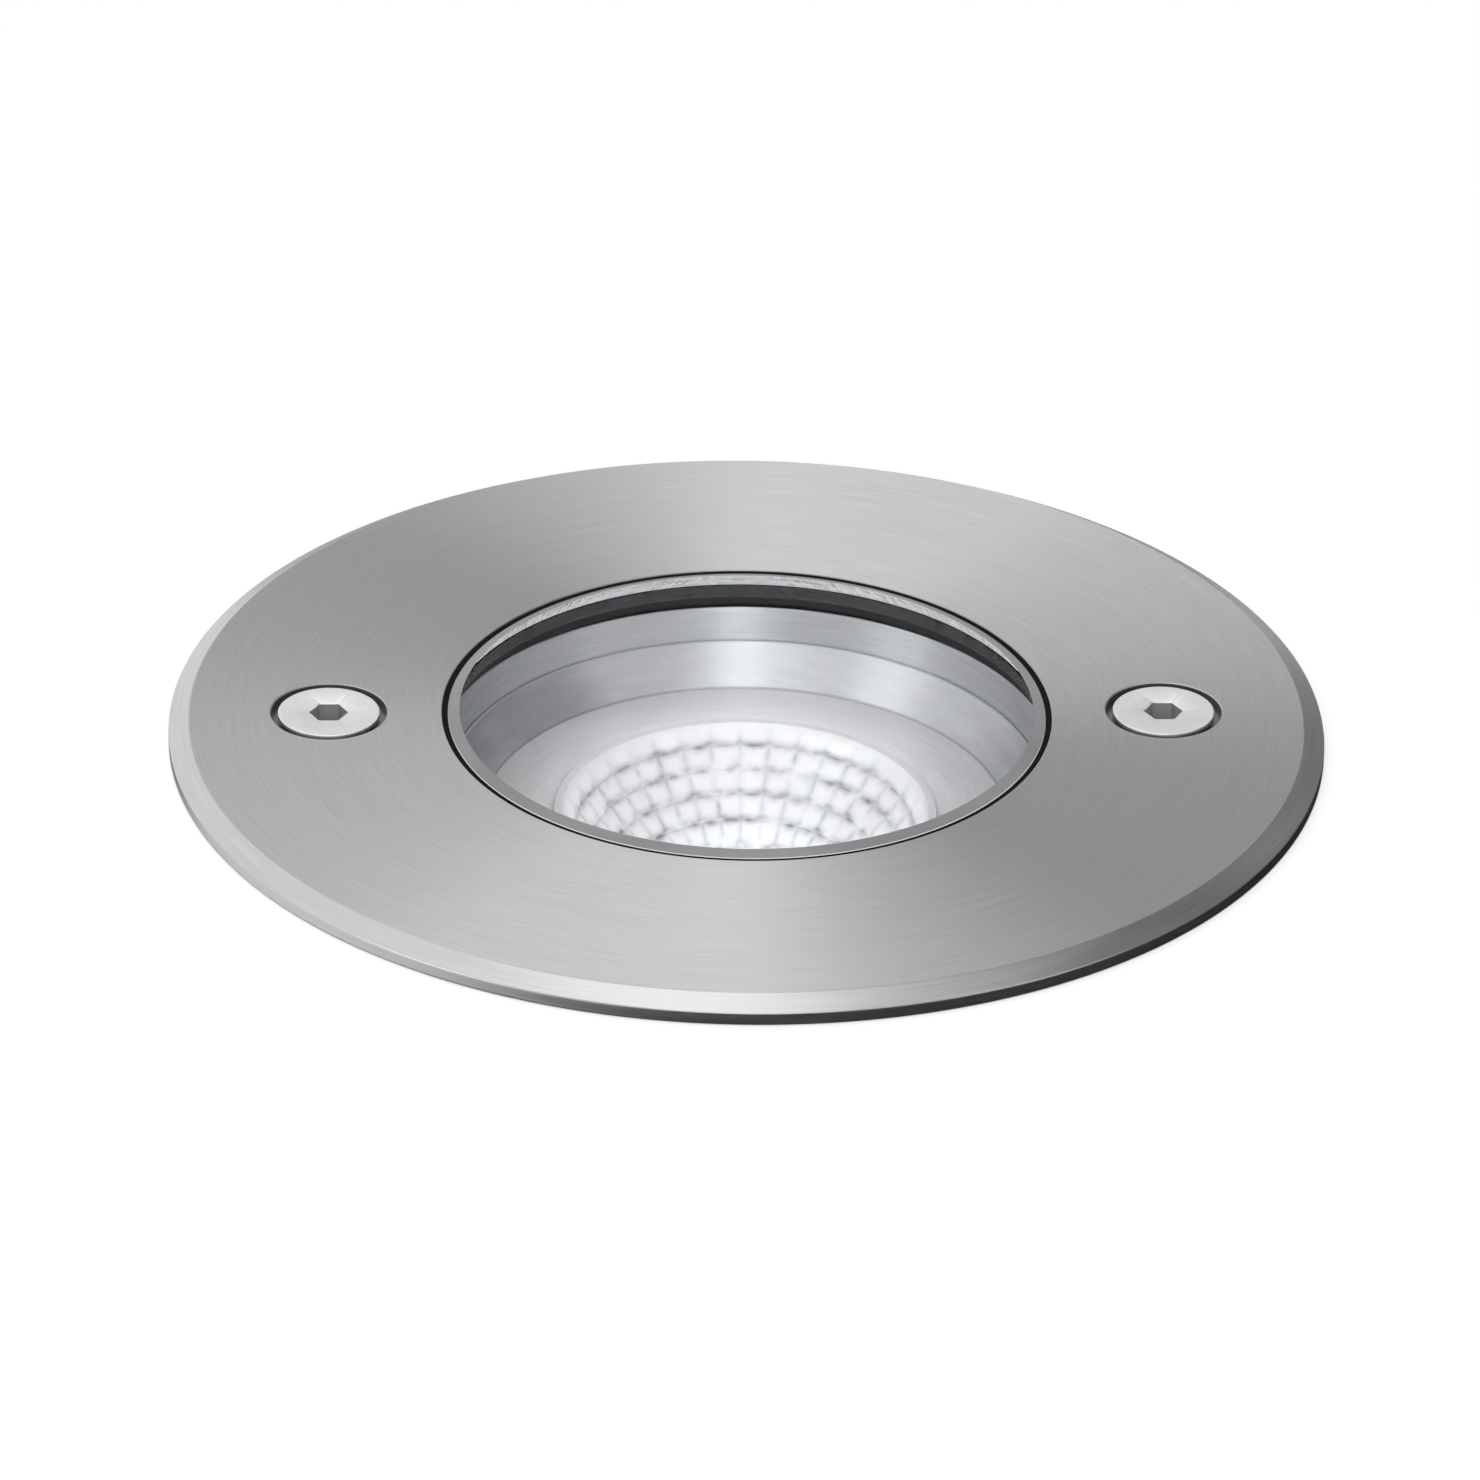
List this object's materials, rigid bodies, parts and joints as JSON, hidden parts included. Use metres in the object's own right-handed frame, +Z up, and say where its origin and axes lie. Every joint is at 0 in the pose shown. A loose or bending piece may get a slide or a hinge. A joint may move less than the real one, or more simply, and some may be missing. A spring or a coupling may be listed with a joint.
{
  "type": "recessed ground light",
  "caption": "Round in-ground light: a flat stainless trim with a nearly flush glass and countersunk screws over a sealed lamp with a faceted reflector, in a sleeve set in the ground.",
  "frame": {"origin": "on the lamp's axis at finished ground level, which is the underside of the trim's rim and the top of the sleeve", "axes": "+Z up along the lamp's axis, out of the ground; the two trim screws lie on X"},
  "size_m": [0.12, 0.12, 0.1058],
  "materials": {
    "brushed_stainless": "circular brushed stainless steel",
    "clear_glass": "clear toughened glass with a ground edge",
    "black_silicone": "matt black silicone",
    "screw_stainless": "turned bright stainless steel",
    "cast_aluminium": "fine-blasted die-cast aluminium, machined at the mouth",
    "turned_aluminium": "turned aluminium with a fine circular grain",
    "bright_reflector": "bright anodised facets",
    "lit_phosphor": "lit light source, cool white",
    "white_board": "white metal-core board",
    "white_plastic": "moulded white plastic",
    "plated_screw": "zinc-plated steel",
    "driver_case": "potted black plastic case",
    "lead_insulation": "silicone wire insulation",
    "gland_nylon": "moulded black nylon",
    "sleeve_plastic": "moulded black polypropylene with a fine grain",
    "insert_brass": "turned brass"
  },
  "bodies": {
    "sleeve": {"recess_sleeve": "sleeve_plastic", "screw_inserts": "insert_brass"},
    "lamp_unit": {"face_gasket": "black_silicone", "lamp_body": "cast_aluminium", "reflector_bezel": "turned_aluminium", "reflector": "bright_reflector", "led_emitter": "lit_phosphor", "led_board": "white_board", "led_holder": "white_plastic", "led_holder_screws": "plated_screw", "heat_sink": "turned_aluminium", "heat_sink_screws": "plated_screw", "led_driver": "driver_case", "driver_screws": "plated_screw", "terminal_block": "white_plastic", "led_leads": "lead_insulation", "base_cover": "cast_aluminium", "base_oring": "black_silicone", "gland_body": "gland_nylon", "gland_washer": "black_silicone", "gland_locknut": "gland_nylon", "gland_seal": "black_silicone", "gland_nut": "gland_nylon"},
    "trim": {"trim_ring": "brushed_stainless", "glass_lens": "clear_glass", "glass_seal": "black_silicone"},
    "left_seal": {"left_screw_oring": "black_silicone"},
    "left_fixing": {"left_screw": "screw_stainless"},
    "right_seal": {"right_screw_oring": "black_silicone"},
    "right_fixing": {"right_screw": "screw_stainless"}
  },
  "joints": [
    {"name": "lamp_lift", "type": "slide", "parent": "sleeve", "child": "lamp_unit", "axis": [0, 0, 1], "range_m": [0, 0.09]},
    {"name": "trim_lift", "type": "slide", "parent": "lamp_unit", "child": "trim", "axis": [0, 0, 1], "range_m": [0, 0.04]},
    {"name": "left_screw_travel", "type": "slide", "parent": "trim", "child": "left_seal", "axis": [0, 0, 1], "range_m": [0, 0.012]},
    {"name": "left_screw_turn", "type": "hinge", "parent": "left_seal", "child": "left_fixing", "pos_m": [-0.0434, 0, 0], "axis": [0, 0, 1], "range_deg": [0, 5400]},
    {"name": "right_screw_travel", "type": "slide", "parent": "trim", "child": "right_seal", "axis": [0, 0, 1], "range_m": [0, 0.012]},
    {"name": "right_screw_turn", "type": "hinge", "parent": "right_seal", "child": "right_fixing", "pos_m": [0.0434, 0, 0], "axis": [0, 0, 1], "range_deg": [0, 5400]}
  ],
  "couplings": [
    {"joint": "left_screw_turn", "follows": "left_screw_travel", "rad_per_m": 7854},
    {"joint": "right_screw_turn", "follows": "right_screw_travel", "rad_per_m": 7854}
  ]
}
